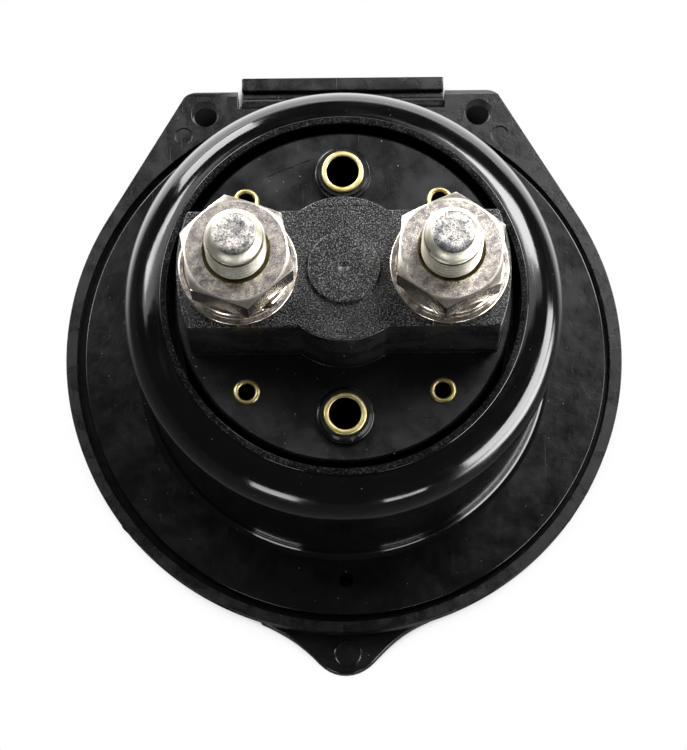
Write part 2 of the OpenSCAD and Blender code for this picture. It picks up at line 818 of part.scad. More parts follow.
// Pan head screw with a cross recess
module knob_screw() {
    slot_w = screw_r * 0.45;
    color("#b7b9bc")
    difference() {
        union() {
            rotate_extrude()
                polygon(concat(
                    [[0, screw_seat_z], [0, screw_seat_z - screw_head_h]],
                    oval([0, screw_seat_z - screw_head_h / 3], screw_head_r, screw_head_h * 2 / 3,
                        -80, 0, 8),
                    [[screw_head_r, screw_seat_z]]));
            rod(screw_r, screw_seat_z - screw_head_h / 3, screw_l);
        }
        for (turn = [0, 90])
            rotate(turn)
                translate([-screw_r, -slot_w / 2, screw_seat_z - screw_head_h - cut])
                    cube([2 * screw_r, slot_w, screw_head_h / 2 + cut]);
    }
}

// Carrier that lifts the bridge. Its two round followers ride on the ramps, and its forked
// arms slide along the bushings, which keep it from turning.
module contact_carrier() {
    inner = cam_r * ramp_shares[0];
    length = cam_r * (ramp_shares[1] - ramp_shares[0]);
    lean = atan2(bridge_travel, inner * knob_turn * PI / 180);
    follower_z = cam_top_z + ramp_foot + follower_r / cos(lean) + face_gap;
    fork_w = 2 * (bushing_r + move_gap) + carrier_t;
    color("#d9d4c4")
    difference() {
        union() {
            rod(cam_r, carrier_z, carrier_t);
            translate([-fork_w / 2, -bushing_y, carrier_z])
                cube([fork_w, 2 * bushing_y, carrier_t]);
            rod(hub_r, carrier_z, bridge_t + carrier_t + wire_r);
            for (side = [-1, 1])
                scale([side, 1, 1])
                    translate([inner, 0, follower_z]) {
                        rotate([0, 90, 0])
                            cylinder(r = follower_r, h = length);
                        translate([0, -follower_r, 0])
                            cube([length, 2 * follower_r, carrier_z - follower_z + cut]);
                    }
        }
        rod(guide_r + run_gap, cam_top_z, bridge_top_z + bridge_t);
        at_bushings()
            rod(bushing_r + move_gap, carrier_z - cut, carrier_t + 2 * cut);
    }
}

// Copper bridge with a raised contact at each end
bridge_bar_t = bridge_t * 0.8;
module contact_bridge() {
    color("#b87348")
    difference() {
        union() {
            intersection() {
                translate([-bridge_r, -bridge_w / 2, bridge_z])
                    cube([2 * bridge_r, bridge_w, bridge_bar_t]);
                rod(bridge_r, bridge_z, bridge_t);
            }
            at_studs()
                rod(contact_r, bridge_z, bridge_t);
        }
        rod(hub_r + seat_gap, bridge_z - cut, bridge_t + 2 * cut);
    }
}

// Return spring: one unbroken wire between the bridge and the top of its pocket in the base
spring_sides = 6;
rings_per_curl = 8;
spring_rings = curls * rings_per_curl;
spring_z = bridge_z + bridge_bar_t + face_gap + wire_r;
spring_rise = spring_top_z - face_gap - wire_r - spring_z;
spring_pitch = spring_rise / curls;
spring_lean = atan2(spring_pitch, 2 * PI * spring_r);
function spring_ring(i) =
    let (t = 360 * i / rings_per_curl, z = spring_z + spring_rise * i / spring_rings)
    [for (j = [0 : spring_sides - 1]) let (a = 360 * j / spring_sides,
        out = spring_r + wire_r * cos(a), along = -wire_r * sin(a) * sin(spring_lean))
        [out * cos(t) - along * sin(t), out * sin(t) + along * cos(t),
         z + wire_r * sin(a) * cos(spring_lean)]];
module return_spring() {
    rings = [for (i = [0 : spring_rings]) spring_ring(i)];
    points = [for (r = rings) each r];
    sides = [for (i = [0 : spring_rings - 1], j = [0 : spring_sides - 1])
        let (a = i * spring_sides + j, b = i * spring_sides + (j + 1) % spring_sides)
        each [[a, b, b + spring_sides], [a, b + spring_sides, a + spring_sides]]];
    last = spring_rings * spring_sides;
    first_cap = [for (j = [1 : spring_sides - 2]) [0, j + 1, j]];
    last_cap = [for (j = [1 : spring_sides - 2]) [last, last + j, last + j + 1]];
    gaps = [for (i = [0 : spring_rings - rings_per_curl])
        min([for (p = rings[i], q = rings[i + rings_per_curl]) norm(p - q)])];
    echo(least_gap_between_curls = min(gaps));
    color("#9a9da1")
    polyhedron(points, concat(sides, first_cap, last_cap));
}

bowl();
mounting_frame();
hinge_pin();
lid();
lid_seal();
switch_base();
switch_cover();
mounting_bushings();
eyelets();
terminal_stud_left();
terminal_stud_right();
flat_washer_left();
flat_washer_right();
lock_washer_left();
lock_washer_right();
terminal_nut_left();
terminal_nut_right();
neck_gasket();
ring_nut();
spindle();
spindle_seal();
thrust_washer();
knob();
knob_screw();
contact_carrier();
contact_bridge();
return_spring();
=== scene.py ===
import random
from math import acos, atan2, cos, degrees, hypot, pi, radians, sin, sqrt, tan

import bmesh
import bpy
from mathutils import Matrix, Vector


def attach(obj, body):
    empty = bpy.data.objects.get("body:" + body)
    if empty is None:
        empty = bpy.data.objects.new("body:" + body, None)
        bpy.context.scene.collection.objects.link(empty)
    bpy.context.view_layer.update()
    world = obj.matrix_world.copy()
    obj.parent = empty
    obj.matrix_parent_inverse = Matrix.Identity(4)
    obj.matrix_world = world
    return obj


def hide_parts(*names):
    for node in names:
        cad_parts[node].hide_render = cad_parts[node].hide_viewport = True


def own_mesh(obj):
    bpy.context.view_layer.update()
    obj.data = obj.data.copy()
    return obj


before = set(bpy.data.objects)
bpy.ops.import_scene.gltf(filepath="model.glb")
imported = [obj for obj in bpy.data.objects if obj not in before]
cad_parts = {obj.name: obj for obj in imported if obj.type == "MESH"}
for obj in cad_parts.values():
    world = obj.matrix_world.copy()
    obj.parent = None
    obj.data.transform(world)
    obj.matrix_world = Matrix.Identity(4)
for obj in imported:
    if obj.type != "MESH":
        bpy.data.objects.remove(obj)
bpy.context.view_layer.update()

ops = bpy.ops
# Every length below is in mm, and MM turns it into metres. Z is up, away from the lid, and Y points
# to the hinge.
MM = 0.001


def only(*pieces):
    """Selects these pieces alone, with the first one active."""
    if bpy.context.object and bpy.context.object.mode != "OBJECT":
        ops.object.mode_set(mode="OBJECT")
    ops.object.select_all(action="DESELECT")
    for piece in pieces:
        piece.select_set(True)
    if pieces:
        bpy.context.view_layer.objects.active = pieces[0]


def edit(piece, mode="VERT"):
    """Opens the piece in edit mode with nothing selected."""
    only(piece)
    ops.object.mode_set(mode="EDIT")
    ops.mesh.select_mode(type=mode)
    ops.mesh.select_all(action="DESELECT")


def close_edit():
    """Goes back to object mode."""
    ops.object.mode_set(mode="OBJECT")


def modify(piece, kind, **settings):
    """Adds a modifier with these settings and applies it."""
    only(piece)
    modifier = piece.modifiers.new(kind, kind)
    for key, value in settings.items():
        setattr(modifier, key, value)
    ops.object.modifier_apply(modifier=modifier.name)


def settle(piece, smooth=35):
    """Places the mesh itself, welds it, turns its faces outwards and shades it."""
    only(piece)
    ops.object.transform_apply(location=True, rotation=True, scale=True)
    edit(piece)
    ops.mesh.select_all(action="SELECT")
    ops.mesh.remove_doubles(threshold=0.002 * MM)
    ops.mesh.normals_make_consistent(inside=False)
    close_edit()
    ops.object.shade_smooth_by_angle(angle=radians(smooth))
    modify(piece, "WEIGHTED_NORMAL", keep_sharp=True, weight=80)


def soften(piece, width, segments=2, angle=40):
    """Rounds every sharp edge of the piece."""
    modify(piece, "BEVEL", width=width * MM, segments=segments, limit_method="ANGLE",
           angle_limit=radians(angle), use_clamp_overlap=True, miter_outer="MITER_ARC")


def carve(piece, *cutters, operation="DIFFERENCE"):
    """Cuts the piece with each cutter, which is then thrown away."""
    for cutter in cutters:
        modify(piece, "BOOLEAN", object=cutter, operation=operation, solver="EXACT")
        bpy.data.objects.remove(cutter)


def join(piece, *others):
    """Joins the others into the piece."""
    only(piece, *others)
    ops.object.join()


def arc(centre, radius, start, end, steps=5):
    """Points on an arc in degrees, ends included."""
    return [(centre[0] + radius * cos(radians(start + (end - start) * i / steps)),
             centre[1] + radius * sin(radians(start + (end - start) * i / steps)))
            for i in range(steps + 1)]


def turned(name, profile, at=(0, 0), steps=96, closed=False):
    """A turned form: a circle drawn out ring by ring along a profile of (radius, height)."""
    only()
    x, y = at[0] * MM, at[1] * MM
    radius, height = profile[0]
    ops.mesh.primitive_circle_add(vertices=steps, radius=radius * MM,
                                  location=(x, y, height * MM))
    piece = bpy.context.active_object
    piece.name = name
    edit(piece, "EDGE")
    ops.mesh.select_all(action="SELECT")
    if not closed:
        ops.mesh.edge_face_add()
        ops.mesh.select_all(action="SELECT")
    for next_radius, next_height in profile[1:]:
        rise = (0, 0, (next_height - height) * MM)
        ops.mesh.extrude_region_move(TRANSFORM_OT_translate={"value": rise})
        share = next_radius / radius
        ops.transform.resize(value=(share, share, 1), center_override=(x, y, next_height * MM))
        radius, height = next_radius, next_height
    close_edit()
    ops.object.transform_apply(location=True, rotation=True, scale=True)
    return piece


def plate(name, outline, low, high):
    """A flat plate: its outline as one face, drawn up from one height to another."""
    only()
    ops.mesh.primitive_circle_add(vertices=len(outline), radius=MM, fill_type="NGON",
                                  location=(0, 0, 0))
    piece = bpy.context.active_object
    piece.name = name
    for vertex, (x, y) in zip(piece.data.vertices, outline):
        vertex.co = (x * MM, y * MM, low * MM)
    edit(piece, "FACE")
    ops.mesh.select_all(action="SELECT")
    ops.mesh.extrude_region_move(TRANSFORM_OT_translate={"value": (0, 0, (high - low) * MM)})
    ops.mesh.select_all(action="SELECT")
    ops.mesh.normals_make_consistent(inside=False)
    close_edit()
    return piece


def block(name, low, high, rounding=0.0):
    """A rectangular block between two corners, with rounded edges."""
    only()
    centre = [(a + b) / 2 * MM for a, b in zip(low, high)]
    ops.mesh.primitive_cube_add(size=1, location=centre)
    piece = bpy.context.active_object
    piece.name = name
    piece.scale = [(b - a) * MM for a, b in zip(low, high)]
    ops.object.transform_apply(location=True, rotation=True, scale=True)
    if rounding:
        soften(piece, rounding)
    return piece


def bar(name, radius, centre, length, axis="Z", steps=48):
    """A round bar about a centre, along Z or X."""
    only()
    turn = (0, pi / 2, 0) if axis == "X" else (0, 0, 0)
    ops.mesh.primitive_cylinder_add(vertices=steps, radius=radius * MM, depth=length * MM,
                                    location=[c * MM for c in centre], rotation=turn)
    piece = bpy.context.active_object
    piece.name = name
    ops.object.transform_apply(location=True, rotation=True, scale=True)
    return piece


def copy_of(piece, name, move=(0, 0, 0), turn=0.0):
    """A copy with its own mesh, turned in degrees about Z at the origin and then moved."""
    only(piece)
    ops.object.duplicate(linked=False)
    copy = bpy.context.active_object
    copy.name = name
    turning = Matrix.Rotation(radians(turn), 4, "Z")
    copy.data.transform(Matrix.Translation(Vector(move) * MM) @ turning)
    return copy


def tilt(piece, angle, axis, about):
    """Turns the piece's mesh by an angle in degrees about an axis through a point."""
    place = Matrix.Translation(Vector(about) * MM)
    piece.data.transform(place @ Matrix.Rotation(radians(angle), 4, axis) @ place.inverted())
    return piece


def merged_copy(node, width):
    """A copy of a CAD node, welded, its flat faces joined and its sharp edges rounded."""
    only(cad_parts[node])
    ops.object.duplicate(linked=False)
    piece = bpy.context.active_object
    for key in list(piece.keys()):
        del piece[key]
    piece.parent = None
    piece.name = node + "_part"
    edit(piece)
    ops.mesh.select_all(action="SELECT")
    ops.mesh.remove_doubles(threshold=0.001 * MM)
    ops.mesh.dissolve_limited(angle_limit=radians(0.2))
    ops.mesh.select_all(action="SELECT")
    ops.mesh.normals_make_consistent(inside=False)
    close_edit()
    soften(piece, width, angle=35)
    return piece


def hand_over(piece, body, slot, materials, *nodes):
    """Gives the piece its materials and body and hides the CAD nodes it stands for; slot is not
    used.
    """
    for finish in materials:
        piece.data.materials.append(finish)
    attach(piece, body)
    if nodes:
        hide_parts(*nodes)


def coat_faces(piece, number, test):
    """Gives the faces that pass the test (centre in mm, normal) a material by its number."""
    for face in piece.data.polygons:
        if test(face.center / MM, face.normal):
            face.material_index = number


def linear(code):
    """An sRGB hex colour as linear red, green, blue and alpha."""
    parts = [int(code[i:i + 2], 16) / 255 for i in (1, 3, 5)]
    return [p / 12.92 if p <= 0.04045 else ((p + 0.055) / 1.055) ** 2.4 for p in parts] + [1.0]


def per(size_mm):
    """The scale at which a pattern on Object coordinates repeats every size_mm."""
    return 1 / (size_mm * MM)


def add(tree, kind, settings=None, **inputs):
    """Adds a node: settings are its own, inputs are plain values or sockets to link."""
    node = tree.nodes.new("ShaderNode" + kind)
    for key, value in (settings or {}).items():
        setattr(node, key, value)
    for key, value in inputs.items():
        socket = node.inputs[int(key[1:])] if key[0] == "_" else node.inputs[key.replace("_", " ")]
        if isinstance(value, bpy.types.NodeSocket):
            tree.links.new(value, socket)
        else:
            socket.default_value = value
    return node


def ramp_of(tree, factor, stops):
    """A colour ramp from (place, hex or grey) stops."""
    node = add(tree, "ValToRGB", _0=factor)
    ends = node.color_ramp.elements
    while len(ends) < len(stops):
        ends.new(0.5)
    for end, (place, value) in zip(ends, stops):
        end.position = place
        end.color = linear(value) if isinstance(value, str) else [value] * 3 + [1]
    return node.outputs[0]


def start(name, ior=1.5, metal=0.0):
    """A new material with its tree, its shader, and Object coordinates."""
    material = bpy.data.materials.new(name)
    material.use_nodes = True
    tree = material.node_tree
    shader = tree.nodes["Principled BSDF"]
    shader.inputs["IOR"].default_value = ior
    shader.inputs["Metallic"].default_value = metal
    place = add(tree, "TexCoord").outputs["Object"]
    return material, tree, shader, place


def feed(tree, shader, **inputs):
    """Links or sets inputs of the shader."""
    for key, value in inputs.items():
        socket = shader.inputs[key.replace("_", " ")]
        if isinstance(value, bpy.types.NodeSocket):
            tree.links.new(value, socket)
        else:
            socket.default_value = value


SPECK_MM, HAIR_MM, POLISH_MM = 1.4, 0.3, 0.7
DUST = "#c4c0b8"


def moulded_plastic(name, dark, pale, gloss, grain, grain_mm, patch_mm, scratch=0.3, dust=0.5,
                    ior=1.52, waves=0.01, rings=0.0, smudge=0.0):
    """Injection-moulded plastic. gloss is its lowest and highest roughness, grain the depth of
    its surface in mm at a pitch of grain_mm, waves its unevenness in mm and patch_mm the size of
    that and of its dull patches, and scratch and dust are how much of each lies on it. rings is the
    depth in mm of polishing lines that run round the Z axis, and smudge the roughness that smears
    of handling add."""
    material, tree, shader, place = start(name, ior)
    patches = add(tree, "TexNoise", Vector=place, Scale=per(patch_mm), Detail=6.0,
                  Roughness=0.62)
    fine = add(tree, "TexNoise", Vector=place, Scale=per(grain_mm), Detail=3.0, Roughness=0.7)
    specks = add(tree, "TexVoronoi", Vector=place, Scale=per(SPECK_MM))
    dots = ramp_of(tree, specks.outputs["Distance"], [(0.03, 1.0), (0.09, 0.0)])
    some = add(tree, "SeparateColor", Color=specks.outputs["Color"])
    share = add(tree, "MapRange", Value=some.outputs[0], _1=0.35, _2=1.0, _3=0.0, _4=dust)
    dusty = add(tree, "Math", {"operation": "MULTIPLY"}, _0=dots, _1=share.outputs[0])
    lines = add(tree, "Mapping", Vector=place, Rotation=(0, 0, 0.7), Scale=(1, 0.03, 0.3))
    hair = add(tree, "TexNoise", Vector=lines.outputs[0], Scale=per(HAIR_MM), Detail=3.0,
               Distortion=0.4)
    streaks = ramp_of(tree, hair.outputs["Fac"], [(0.68, 0.0), (0.75, scratch)])
    body = ramp_of(tree, patches.outputs["Fac"], [(0.35, dark), (0.7, pale)])
    soiled = add(tree, "MixRGB", Fac=dusty.outputs[0], Color1=body, Color2=linear(DUST))
    shine = add(tree, "MapRange", Value=patches.outputs["Fac"], _1=0.33, _2=0.67, _3=gloss[0],
                _4=gloss[1])
    worn = add(tree, "Math", {"operation": "MULTIPLY_ADD"}, _0=streaks, _1=0.25,
               _2=shine.outputs[0])
    if smudge:
        smears = add(tree, "TexNoise", Vector=place, Scale=per(patch_mm * 3), Detail=4.0,
                     Distortion=1.2)
        smeared = ramp_of(tree, smears.outputs["Fac"], [(0.44, 0.0), (0.6, smudge)])
        worn = add(tree, "Math", {"operation": "ADD"}, _0=worn.outputs[0], _1=smeared)
    height = add(tree, "Math", {"operation": "MULTIPLY_ADD"}, _0=streaks, _1=-0.35,
                 _2=fine.outputs["Fac"])
    uneven = add(tree, "Bump", Strength=1.0, Distance=waves * MM, Height=patches.outputs["Fac"])
    if rings:
        spot = add(tree, "SeparateXYZ", Vector=place)
        flat = add(tree, "CombineXYZ", X=spot.outputs["X"], Y=spot.outputs["Y"]).outputs[0]
        radius = add(tree, "VectorMath", {"operation": "LENGTH"}, _0=flat).outputs["Value"]
        unit = add(tree, "VectorMath", {"operation": "NORMALIZE"}, _0=flat).outputs[0]
        small = add(tree, "VectorMath", {"operation": "SCALE"}, _0=unit, Scale=3 * MM).outputs[0]
        level = add(tree, "CombineXYZ", Z=spot.outputs["Z"]).outputs[0]
        around_axis = add(tree, "VectorMath", {"operation": "ADD"}, _0=small, _1=level).outputs[0]
        polish = add(tree, "TexNoise", {"noise_dimensions": "4D"}, Vector=around_axis, W=radius,
                     Scale=per(POLISH_MM), Detail=3.0, Roughness=0.6)
        uneven = add(tree, "Bump", Strength=1.0, Distance=rings * MM, Height=polish.outputs["Fac"],
                     Normal=uneven.outputs[0])
        duller = add(tree, "Math", {"operation": "ADD"}, _0=worn.outputs[0], _1=0.09)
        worn = add(tree, "MapRange", Value=polish.outputs["Fac"], _1=0.4, _2=0.65,
                   _3=worn.outputs[0], _4=duller.outputs[0])
    bump = add(tree, "Bump", Strength=1.0, Distance=grain * MM, Height=height.outputs[0],
               Normal=uneven.outputs[0])
    feed(tree, shader, Base_Color=soiled.outputs[0], Roughness=worn.outputs[0],
         Normal=bump.outputs[0])
    return material


# Bowl: black ABS from a polished mould. Deep black with a clear shine, faint waviness and dust.
polished_abs = moulded_plastic("polished_abs", "#040405", "#080809", (0.05, 0.12), 0.002, 4, 11,
                               scratch=0.12, dust=0.3, ior=1.56, waves=0.02, rings=0.007)
# Bowl's flange: the same ABS from a plainer mould face, satin and dusty.
satin_abs = moulded_plastic("satin_abs", "#050506", "#0b0b0c", (0.13, 0.22), 0.006, 0.35, 4,
                            scratch=0.5, ior=1.54, waves=0.05, smudge=0.05)
# Frame and ears: black polypropylene, dull and blotchy.
dull_polypropylene = moulded_plastic("dull_polypropylene", "#050506", "#131314", (0.17, 0.28),
                                     0.02, 0.3, 2.4, scratch=0.8, dust=0.4, ior=1.5, waves=0.04,
                                     smudge=0.14)
# Frame's recess: the same plastic, made deeper black as painted shade in the recess.
unrubbed_polypropylene = moulded_plastic("unrubbed_polypropylene", "#020202", "#050505",
                                         (0.12, 0.2), 0.01, 0.3, 2.4, scratch=0.1, dust=0.1,
                                         ior=1.42)
# Lid with its tab and hinge: black polypropylene from a polished mould.
glossy_polypropylene = moulded_plastic("glossy_polypropylene", "#09090a", "#161617", (0.16, 0.28),
                                       0.004, 0.5, 6, scratch=0.5, dust=0.4, ior=1.5,
                                       waves=0.004)
# Switch's base: glass-filled nylon. Its disc and the block's walls are smooth with flow lines.
smooth_nylon = moulded_plastic("smooth_nylon", "#0c0c0d", "#19191a", (0.2, 0.36), 0.008, 0.5, 6,
                               scratch=0.6, dust=0.9, ior=1.53, waves=0.03)


def grainy_plastic(name, grain_mm, depth, colours, gloss, patch_mm):
    """Black plastic with a grainy skin of grains grain_mm apart and depth mm deep, whose colours
    run from pit to grain with the grains' height, and gloss its lowest and highest roughness."""
    material, tree, shader, place = start(name, 1.53)
    grains = add(tree, "TexNoise", Vector=place, Scale=per(grain_mm), Detail=2.0, Roughness=0.8)
    patches = add(tree, "TexNoise", Vector=place, Scale=per(patch_mm), Detail=4.0)
    body = ramp_of(tree, grains.outputs["Fac"], list(zip((0.45, 0.5, 0.55, 0.61), colours)))
    tone = ramp_of(tree, patches.outputs["Fac"], [(0.3, 0.55), (0.65, 1.0)])
    tint = add(tree, "MixRGB", {"blend_type": "MULTIPLY"}, Fac=1.0, Color1=body, Color2=tone)
    bump = add(tree, "Bump", Strength=1.0, Distance=depth * MM, Height=grains.outputs["Fac"])
    rough = add(tree, "MapRange", Value=patches.outputs["Fac"], _1=0.3, _2=0.7, _3=gloss[0],
                _4=gloss[1])
    feed(tree, shader, Base_Color=tint.outputs[0], Roughness=rough.outputs[0],
         Normal=bump.outputs[0])
    return material


# Top of the terminal block: glass-filled nylon from a spark-eroded mould face, with grains about
# 0.26 mm apart. Its dark pits are painted shade and its pale grains painted glints.
eroded_nylon = grainy_plastic("eroded_nylon", 0.26, 0.04,
                              ("#030304", "#08080a", "#2a2a2c", "#8c8c8e"), (0.2, 0.29), 5)
# Bowl's rim: its ABS rubbed dull by the tool that closed it, with fine white scuffs.
rubbed_abs = grainy_plastic("rubbed_abs", 0.28, 0.012, ("#030304", "#030304", "#050506", "#3e3e3f"),
                            (0.1, 0.22), 3)


def metal(name, dark, pale, gloss, grain, grain_mm, patch_mm=2.5, stretch=(1, 1, 1), pits=0.3):
    """Bare or plated metal. gloss is its lowest and highest roughness, grain the depth of its fine
    tool marks in mm at a pitch of grain_mm, patch_mm the size of its stains, and pits how dark the
    small pits in it are."""
    material, tree, shader, place = start(name, metal=1.0)
    patches = add(tree, "TexNoise", Vector=place, Scale=per(patch_mm), Detail=5.0, Roughness=0.6)
    along = add(tree, "Mapping", Vector=place, Scale=stretch)
    marks = add(tree, "TexNoise", Vector=along.outputs[0], Scale=per(grain_mm), Detail=3.0,
                Roughness=0.75)
    body = ramp_of(tree, patches.outputs["Fac"], [(0.35, dark), (0.62, pale)])
    holes = ramp_of(tree, marks.outputs["Fac"], [(0.38, 1 - pits), (0.52, 1.0)])
    pitted = add(tree, "MixRGB", {"blend_type": "MULTIPLY"}, Fac=1.0, Color1=body, Color2=holes)
    shine = add(tree, "MapRange", Value=marks.outputs["Fac"], _1=0.3, _2=0.7, _3=gloss[1],
                _4=gloss[0])
    bump = add(tree, "Bump", Strength=1.0, Distance=grain * MM, Height=marks.outputs["Fac"])
    feed(tree, shader, Base_Color=pitted.outputs[0], Roughness=shine.outputs[0],
         Normal=bump.outputs[0])
    return material


# Nuts and washers: steel with a bright zinc-nickel plate, creamy with a breath of pink.
plated_steel = metal("plated_steel", "#a3979a", "#f3ebde", (0.2, 0.4), 0.03, 0.27, 1.4, pits=0.6)
# Their sides: the same plate over drawn steel, smooth, so it mirrors more, and painted paler as
# painted light.
plated_flats = metal("plated_flats", "#c4b8aa", "#f6efe2", (0.14, 0.26), 0.006, 0.6, 3, pits=0.15)
# Their chamfers: the same plate painted paler as a painted highlight.
plated_chamfer = metal("plated_chamfer", "#d2c7b9", "#fbf5e9", (0.26, 0.4), 0.008, 0.5, 2,
                       pits=0.2)
# Their countersinks: the same plate with a golden passivation.
golden_plate = metal("golden_plate", "#b5a566", "#eadfa6", (0.3, 0.45), 0.01, 0.4, 1.5, pits=0.3)
# Stud threads: the same plate, brighter and a little greener where the die has burnished it.
plated_thread = metal("plated_thread", "#dfd8c4", "#fbf7ea", (0.4, 0.54), 0.008, 0.4, 2, pits=0.2)
# Their grooves: the same plate darkened as painted shade in the thread's roots.
thread_groove = metal("thread_groove", "#5c5748", "#8d8772", (0.5, 0.65), 0.01, 0.4, 2)
# Stud ends: the same plate over a cut and hammered end, rough-grained.
cut_end = metal("cut_end", "#7c7c82", "#e4dfd7", (0.24, 0.4), 0.06, 0.27, 1.6, pits=0.93)
# Bushings and eyelets: bright drawn brass.
drawn_brass = metal("drawn_brass", "#e2cc80", "#fdf0b2", (0.3, 0.44), 0.008, 0.5, 1.5,
                    pits=0.15)
# Their bores: the same brass, unpolished and dark brown.
tarnished_brass = metal("tarnished_brass", "#1d180b", "#3a3118", (0.5, 0.65), 0.01, 0.5, 2)
# Spindle, pin, spring and thrust washer: plain drawn steel.
drawn_steel = metal("drawn_steel", "#8d9094", "#c4c7ca", (0.22, 0.4), 0.008, 0.4,
                    stretch=(1, 1, 0.2))
# Contact bridge: rolled copper with a little tarnish.
rolled_copper = metal("rolled_copper", "#9a5433", "#dc9a6c", (0.24, 0.42), 0.01, 0.4, 3,
                      stretch=(0.15, 1, 1))
# Seals: black nitrile rubber, matt with a little bloom.
nitrile = moulded_plastic("nitrile", "#0d0d0e", "#1a1a1a", (0.6, 0.8), 0.03, 0.4, 5,
                          scratch=0.2, dust=0.3)
# Knob: red polypropylene with a soft shine and paler rubbed patches.
red_polypropylene = moulded_plastic("red_polypropylene", "#8e120f", "#b51c17", (0.28, 0.45), 0.02,
                                    0.5, 7, scratch=0.4, dust=0.3, ior=1.5)
# Carrier: unfilled nylon, cream and slightly waxy.
cream_nylon = moulded_plastic("cream_nylon", "#c9c0a6", "#ddd6c0", (0.35, 0.5), 0.02, 0.5, 6,
                              dust=0.1)
# Switch's cover and ring nut: black glass-filled nylon, satin.
satin_nylon = moulded_plastic("satin_nylon", "#131314", "#202021", (0.36, 0.52), 0.03, 0.4, 5,
                              scratch=0.4, dust=0.4)

# Bowl. Its profile runs from the neck's hole over the floor's front, up the inner wall, down the
# outer wall's inside, round the flange, up to the bead, over the rounded shoulder and the rim, and
# down to the floor's back.
NECK_R, FLOOR_FRONT, FLOOR_BACK = 9.55, 25.61, 28.61
SHOULDER_R, SHOULDER_Z, SHOULDER_WIDTH, SHOULDER_HEIGHT = 31.75, 49.3, 6.35, 7.5
shoulder = [(SHOULDER_R + SHOULDER_WIDTH * cos(radians(a)),
             SHOULDER_Z + SHOULDER_HEIGHT * sin(radians(a))) for a in range(0, 91, 5)]
bowl_profile = (
    [(NECK_R, FLOOR_FRONT)] + arc((31.6, 26.01), 0.4, -90, 0) + [(32.0, 48.8), (34.8, 48.8)]
    + arc((35.2, 7.4), 0.4, 180, 270) + arc((48.15, 7.25), 0.25, -90, 0)
    + arc((48.1, 9.2), 0.3, 0, 90) + arc((38.5, 11.0), 1.5, 270, 180, 8)
    + arc((37.0, 47.3), 1.1, -90, 0, 8) + shoulder
    + arc((31.5, 57.05), 0.25, 0, 90, 4) + arc((30.65, 57.05), 0.25, 90, 180, 4)
    + [(30.4, FLOOR_BACK), (NECK_R, FLOOR_BACK), (NECK_R, FLOOR_FRONT)])
bowl = turned("bowl_moulding", bowl_profile, steps=192, closed=True)
settle(bowl)
carve(bowl, bar("flange_hole", 1.4, (0, -42, 8.2), 6, steps=32))
web = block("web", (31.7, -0.7, 25.9), (35.1, 0.7, 49.0), 0.15)
webs = [copy_of(web, "web_%d" % i, turn=15 + 30 * i) for i in range(12)]
bpy.data.objects.remove(web)
join(bowl, *webs)
# The flange's edge sits a little to the right in the frame.
FLANGE_OFFSET, FLANGE_SHRINK = 0.25, 0.0015
for vertex in bowl.data.vertices:
    x, y, z = vertex.co / MM
    if hypot(x, y) > 47 and z < 10:
        vertex.co.x += FLANGE_OFFSET * MM - FLANGE_SHRINK * vertex.co.x
settle(bowl)
hand_over(bowl, "housing", "glossy_black", [polished_abs, satin_abs, rubbed_abs], "bowl")
coat_faces(bowl, 1, lambda c, n: c.z < 9.6 and hypot(c.x, c.y) > 38.4)
coat_faces(bowl, 2, lambda c, n: c.z > 57.2 and n.z > 0.96)

# Mounting frame. A flank of each ear touches the ring and the ear's rounded corner.
RING_R, FRAME_LOW, FRAME_TOP = 51.58, 5.5, 9.5
EAR_X, EAR_TOP, EAR_CORNER, EAR_ROUND = 19.6, 51.8, (27.4, 49.0), 2.8
ear_lean = degrees(atan2(EAR_CORNER[1], EAR_CORNER[0])
                   - acos((51.6 - EAR_ROUND) / hypot(*EAR_CORNER)))
frame_outline = (
    arc((0, 0), RING_R, 180 - ear_lean, 360 + ear_lean, 150)
    + arc(EAR_CORNER, EAR_ROUND, ear_lean, 90, 8)
    + [(EAR_X, EAR_TOP), (EAR_X, 48.2), (-EAR_X, 48.2), (-EAR_X, EAR_TOP)]
    + arc((-EAR_CORNER[0], EAR_CORNER[1]), EAR_ROUND, 90, 180 - ear_lean, 8))
ring = plate("frame_moulding", frame_outline, FRAME_LOW, FRAME_TOP)
carve(ring, bar("recess", 49.45, (-0.12, -0.2, 12.0), 10, steps=192),
      bar("opening", 46.0, (0, 0, 6.0), 6, steps=192),
      bar("ear_hole_left", 2.5, (-25.8, 47.1, 8), 8),
      bar("ear_hole_right", 2.5, (25.8, 47.1, 8), 8),
      bar("ejector_left", 1.6, (-29.8, 42.9, 10.2), 2),
      bar("ejector_right", 1.6, (29.8, 42.7, 10.2), 2),
      tilt(block("ear_bevel", (-40, EAR_TOP, 8), (40, 54, 12)), 50, "X", (0, EAR_TOP, 8.5)),
      tilt(block("nick", (31.9, 47.2, 5), (33.5, 48.0, 12)), 20, "Z", (31.9, 47.6, 8)))
soften(ring, 0.22)
lugs = [block("lug_left", (-21.7, 47.9, 1.0), (-EAR_X, EAR_TOP, 7.5), 0.2),
        block("lug_right", (EAR_X, 47.9, 1.0), (21.7, EAR_TOP, 7.5), 0.2)]
tongue = plate("tongue", [(-5, -46.3), (5, -46.3), (5, -39.2), (-5, -39.2)], FRAME_LOW, 7.0)
carve(tongue, bar("tongue_hole", 1.2, (0, -42, 6), 4, steps=32))
soften(tongue, 0.15)
ragged = random.Random(11)
FLASH_THICK, FLASH_STEPS_PER_DEGREE = 0.22, 2.5


